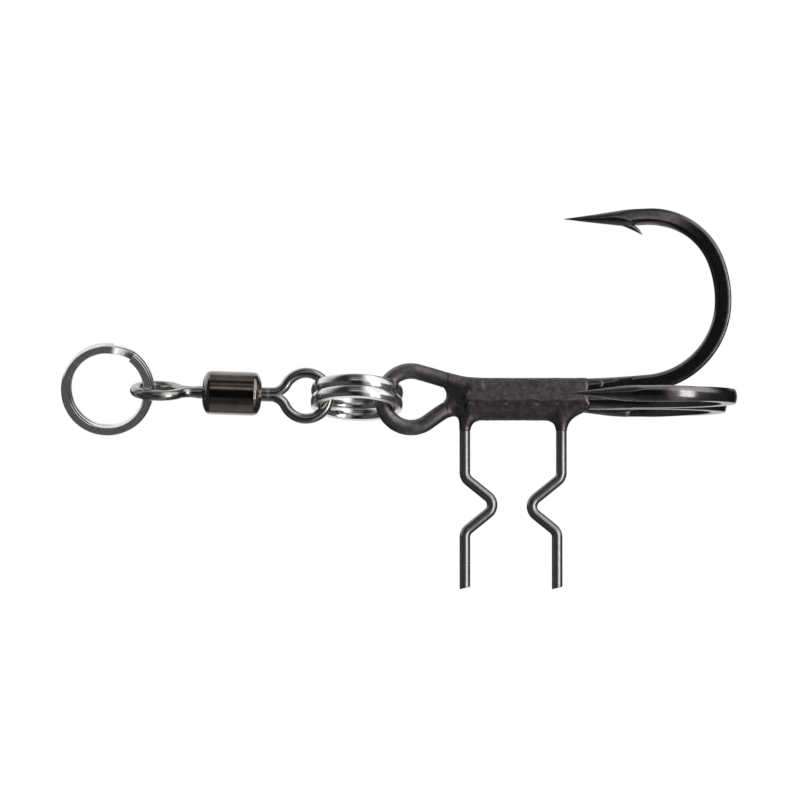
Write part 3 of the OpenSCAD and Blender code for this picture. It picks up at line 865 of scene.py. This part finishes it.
def braze():
    """Skin of braze over the shanks, the arms' foot and the spikes' roots, in treble coordinates."""
    low, high = np.array(BRAZE_GRID)
    axes = [np.arange(a, b, BRAZE_STEP) for a, b in zip(low, high)]
    p = np.stack(np.meshgrid(*axes, indexing="ij"), -1)
    x, y, z = p[..., 0], p[..., 1], p[..., 2]
    body = kite(x, y, BRAZE_SECTION, BRAZE_ROUND)
    under = -UNDERSIDE_SCALE * (x - UNDERSIDE_THROUGH[0] + UNDERSIDE_SLOPE * (z - UNDERSIDE_THROUGH[1]))
    body = -melt(-body, -under, FILLET["underside"])
    body = -melt(-body, -np.maximum(z - BRAZE_TOP, BRAZE_END - z), FILLET["ends"])
    # the shanks start inside the arms' feet or, for the near one, above its cover
    shanks = ((UPPER_SHANK, 0, -6), (-SIDE_DROP, SIDE_OFFSET, -ARMS_MEET), (-SIDE_DROP, -SIDE_OFFSET, -4))
    upper, far, near = (rod(p, (out, side, top), (out, side, PAST_GRID), HOOK_WIRE / 2)
                        for out, side, top in shanks)
    near = np.maximum(near, z - NEAR_COVER)
    # the two arms of the eye are filled where they run together, which rounds the hole's lower end
    upper_foot, lower_foot = (chain(p, arm[::3], EYE_WIRE_T / 2) for arm in (upper_arm, lower_arm))
    arms = melt(upper_foot, lower_foot, FILLET["arms"])
    skin = melt(body, np.minimum.reduce([upper, far, near, arms]), FILLET["wires"])
    for at in (FRONT_Z, REAR_Z):
        spike = rod(p, (-CROWN + 0.2, 0, -at), (-CROWN - 6, 0, -at), SPIKE_D / 2)
        skin = melt(skin, spike, FILLET["spikes"])
    for *place, radius in DROPS:
        skin = melt(skin, rod(p, place, np.add(place, DROP_RUN), radius), FILLET["drops"])
    wander = ripples(p * [0, 0, 1], *WANDER)
    skin = skin - SKIN_OVER + ripples(p, *LUMPS) + ripples(p, *GRIT)
    for out, half_width, side, end, rise in (RIDGE, GROOVE):
        seam = np.exp(-((x - out + wander) / half_width) ** 2 - ((np.abs(y) - side) / SEAM_SPREAD) ** 2)
        seam = seam * smooth((SEAM_TOP - z) / SEAM_TOP_OVER) * smooth((z - end) / SEAM_END_OVER)
        skin = skin - rise * seam
    # the skin dives into the wires where the braze ends, but for the upper shank's drops
    drops = (np.exp(-((z - UPPER_DROPS_Z) / UPPER_DROPS_OVER) ** 2)
             * (y < 0) * (x > UPPER_DROPS_OUT))
    bend_end, *bend_dive = BEND_DIVE
    fade = dive(z, 1, *EYE_DIVE)
    fade = fade + (dive(z, -1, bend_end + ripples(p, *RAGGED), *bend_dive)
                   * (1 - DROPS_SPARED * drops))
    fade = fade + dive(x, -1, *SPIKE_DIVE)
    # the outermost layer counts as outside, so the skin is closed where it ends inside the wires
    field = np.pad((skin + fade)[1:-1, 1:-1, 1:-1], 1, constant_values=BRAZE_STEP)
    verts, faces = surface_of(field, low, BRAZE_STEP)
    piece("braze_skin", [(in_treble(verts), faces)], "treble", ["braze"], [braze_satin],
          crease=180)


braze()

# ---------------------------------------------------------------- camera

LENS, SENSOR = 269.0, 36.0
DISTANCE = 550.0
LOW_ANGLE = math.radians(2.6)       # the camera looks up by this much
AIM_ABOVE, AIM_IN = 1.012, 0.064    # from the treble's eye, back up the chain and inwards

# In the picture the chain runs to the right, with the upper hook upwards
right = treble_down
up = treble_out
back = unit(-math.cos(LOW_ANGLE) * Y - math.sin(LOW_ANGLE) * up)
cam_up = np.cross(back, right)
aim = treble_at - AIM_ABOVE * right - AIM_IN * up

camera_data = bpy.data.cameras.new("camera")
camera_data.lens, camera_data.sensor_width = LENS, SENSOR
camera_data.clip_start, camera_data.clip_end = 0.01, 10
camera = bpy.data.objects.new("camera", camera_data)
bpy.context.scene.collection.objects.link(camera)
turned = Matrix([right, cam_up, back]).transposed().to_4x4()
camera.matrix_world = Matrix.Translation(Vector((aim + back * DISTANCE) / MM)) @ turned
bpy.context.scene.camera = camera

# ---------------------------------------------------------------- studio


def softbox(name, azimuth, elevation, distance, width, height, radiance):
    """Area light round the object, as the camera sees it: azimuth to the right, elevation upwards."""
    az, el = math.radians(azimuth), math.radians(elevation)
    z = unit(math.cos(el) * math.cos(az) * back + math.cos(el) * math.sin(az) * right
             + math.sin(el) * cam_up)
    x = unit(np.cross(cam_up, z))
    light = bpy.data.lights.new(name, "AREA")
    light.shape = "RECTANGLE"
    light.size, light.size_y = width / MM, height / MM
    light.energy = radiance * math.pi * light.size * light.size_y
    made = bpy.data.objects.new(name, light)
    bpy.context.scene.collection.objects.link(made)
    made.matrix_world = (Matrix.Translation(Vector((aim + z * distance) / MM))
                         @ Matrix([x, np.cross(z, x), z]).transposed().to_4x4())
    made.visible_camera = False


softbox("key", azimuth=45, elevation=-6, distance=400, width=150, height=280, radiance=3.6)

# Brightness round the chain, by degrees above the camera's line: black cards between white ones
AROUND = ((-180, 1.1), (-132, 1.1), (-122, 0.12), (-104, 0.34), (-84, 0.26), (-66, 0.20), (-58, 0.08),
          (-27, 0.07), (-22, 0.012), (15, 0.012), (20, 0.18), (28, 0.75), (34, 0.14), (40, 0.06),
          (47, 0.28), (55, 0.12), (62, 0.015), (70, 0.14), (78, 0.34), (94, 0.24), (108, 0.35),
          (118, 1.0), (140, 1.1), (180, 1.1))
# Brightness towards the chain's two ends, by degrees to the right of the camera, level and from above
LEVEL = ((-180, 0.08), (-120, 0.05), (-90, 0.07), (-60, 0.10), (-25, 0.10), (7, 0.05), (15, 0.45),
         (44, 0.5), (62, 0.2), (84, 0.08), (180, 0.04))
ABOVE = ((-180, 0.9), (-150, 1.1), (-110, 1.1), (-84, 0.6), (-62, 0.05), (-30, 0.03), (2, 0.03),
         (14, 0.8), (36, 1.6), (88, 1.4), (104, 0.3), (114, 0.05), (140, 0.06), (152, 1.1), (180, 1.1))
# Shares of the camera's up and of the chain's line over which one ramp gives way to the next
LEVEL_TO_ABOVE = (0.1, 0.22)
AROUND_TO_ENDS = (0.12, 0.4)

world = bpy.data.worlds.new("studio")
bpy.context.scene.world = world
world.use_nodes = True
tree = world.node_tree
tree.nodes.clear()
way = tree.nodes.new("ShaderNodeTexCoord").outputs["Generated"]


def math_node(operation, *values):
    node = tree.nodes.new("ShaderNodeMath")
    node.operation = operation
    for socket, value in zip(node.inputs, values):
        if isinstance(value, bpy.types.NodeSocket):
            tree.links.new(value, socket)
        else:
            socket.default_value = value
    return node.outputs["Value"]


def share(direction):
    """Part of the looked-at direction that lies along the given one."""
    node = tree.nodes.new("ShaderNodeVectorMath")
    node.operation = "DOT_PRODUCT"
    node.inputs[1].default_value = tuple(direction)
    tree.links.new(way, node.inputs[0])
    return node.outputs["Value"]


def tones(degrees, stops):
    """Grey ramp over an angle from -180 to 180 degrees."""
    node = tree.nodes.new("ShaderNodeValToRGB")
    tree.links.new(math_node("DIVIDE", math_node("ADD", degrees, 180), 360), node.inputs["Fac"])
    elements = node.color_ramp.elements
    while len(elements) < len(stops):
        elements.new(0.5)
    for element, (at, tone) in zip(elements, stops):
        element.position, element.color = (at + 180) / 360, (tone, tone, tone, 1)
    return node.outputs["Color"]


def crossfade(value, low, high, first, second):
    """First colour while value is under low, second once it is over high."""
    blend = tree.nodes.new("ShaderNodeMix")
    blend.data_type = "RGBA"
    edge = tree.nodes.new("ShaderNodeMapRange")
    edge.interpolation_type = "SMOOTHSTEP"
    edge.inputs["From Min"].default_value, edge.inputs["From Max"].default_value = low, high
    tree.links.new(value, edge.inputs["Value"])
    tree.links.new(edge.outputs["Result"], blend.inputs[MIX_FACTOR])
    tree.links.new(first, blend.inputs[MIX_FIRST])
    tree.links.new(second, blend.inputs[MIX_SECOND])
    return blend.outputs[MIX_RESULT]


def degrees_between(a, b):
    """Angle from b towards a, where both are shares of the looked-at direction."""
    return math_node("MULTIPLY", math_node("ARCTAN2", a, b), 180 / math.pi)


lengthwise, height, nearness = share(right), share(cam_up), share(back)
around = tones(degrees_between(height, nearness), AROUND)
sideways = degrees_between(lengthwise, nearness)
ends = crossfade(height, *LEVEL_TO_ABOVE, tones(sideways, LEVEL), tones(sideways, ABOVE))
surroundings = crossfade(math_node("ABSOLUTE", lengthwise), *AROUND_TO_ENDS, around, ends)

# The camera itself sees plain white behind the rig
lit, seen = (tree.nodes.new("ShaderNodeBackground") for _ in range(2))
tree.links.new(surroundings, lit.inputs["Color"])
seen.inputs["Color"].default_value = (1, 1, 1, 1)
join = tree.nodes.new("ShaderNodeMixShader")
tree.links.new(tree.nodes.new("ShaderNodeLightPath").outputs["Is Camera Ray"], join.inputs[0])
tree.links.new(lit.outputs[0], join.inputs[1])
tree.links.new(seen.outputs[0], join.inputs[2])
tree.links.new(join.outputs[0], tree.nodes.new("ShaderNodeOutputWorld").inputs["Surface"])

bpy.context.scene.view_settings.view_transform = "Standard"

# ---------------------------------------------------------------- floor

FLOOR_R, FLOOR_DROP = 90, 20


def floor():
    """Pale round floor under the hanging rig."""
    bottom = cad_box[0][2] - FLOOR_DROP / MM
    rim = [(x, y, bottom) for x, y in circle(FLOOR_R / MM, 96)]
    mesh = bpy.data.meshes.new("floor")
    mesh.from_pydata(rim, [], [list(range(len(rim)))])
    n = Nodes("floor_paint")
    grain = n.noise(n.scaled(0.6, 0.6, 0.6), detail=3)
    paint = n.blend_colors(grain, (0.78, 0.78, 0.77), (0.84, 0.84, 0.83))
    mesh.materials.append(n.finish(paint, roughness=0.7, metallic=0.0))
    made = bpy.data.objects.new("floor", mesh)
    bpy.context.scene.collection.objects.link(made)
    # the lights stand all round the rig, so the floor is only seen, and neither shades nor reflects
    made.visible_shadow = made.visible_glossy = made.visible_diffuse = False


floor()
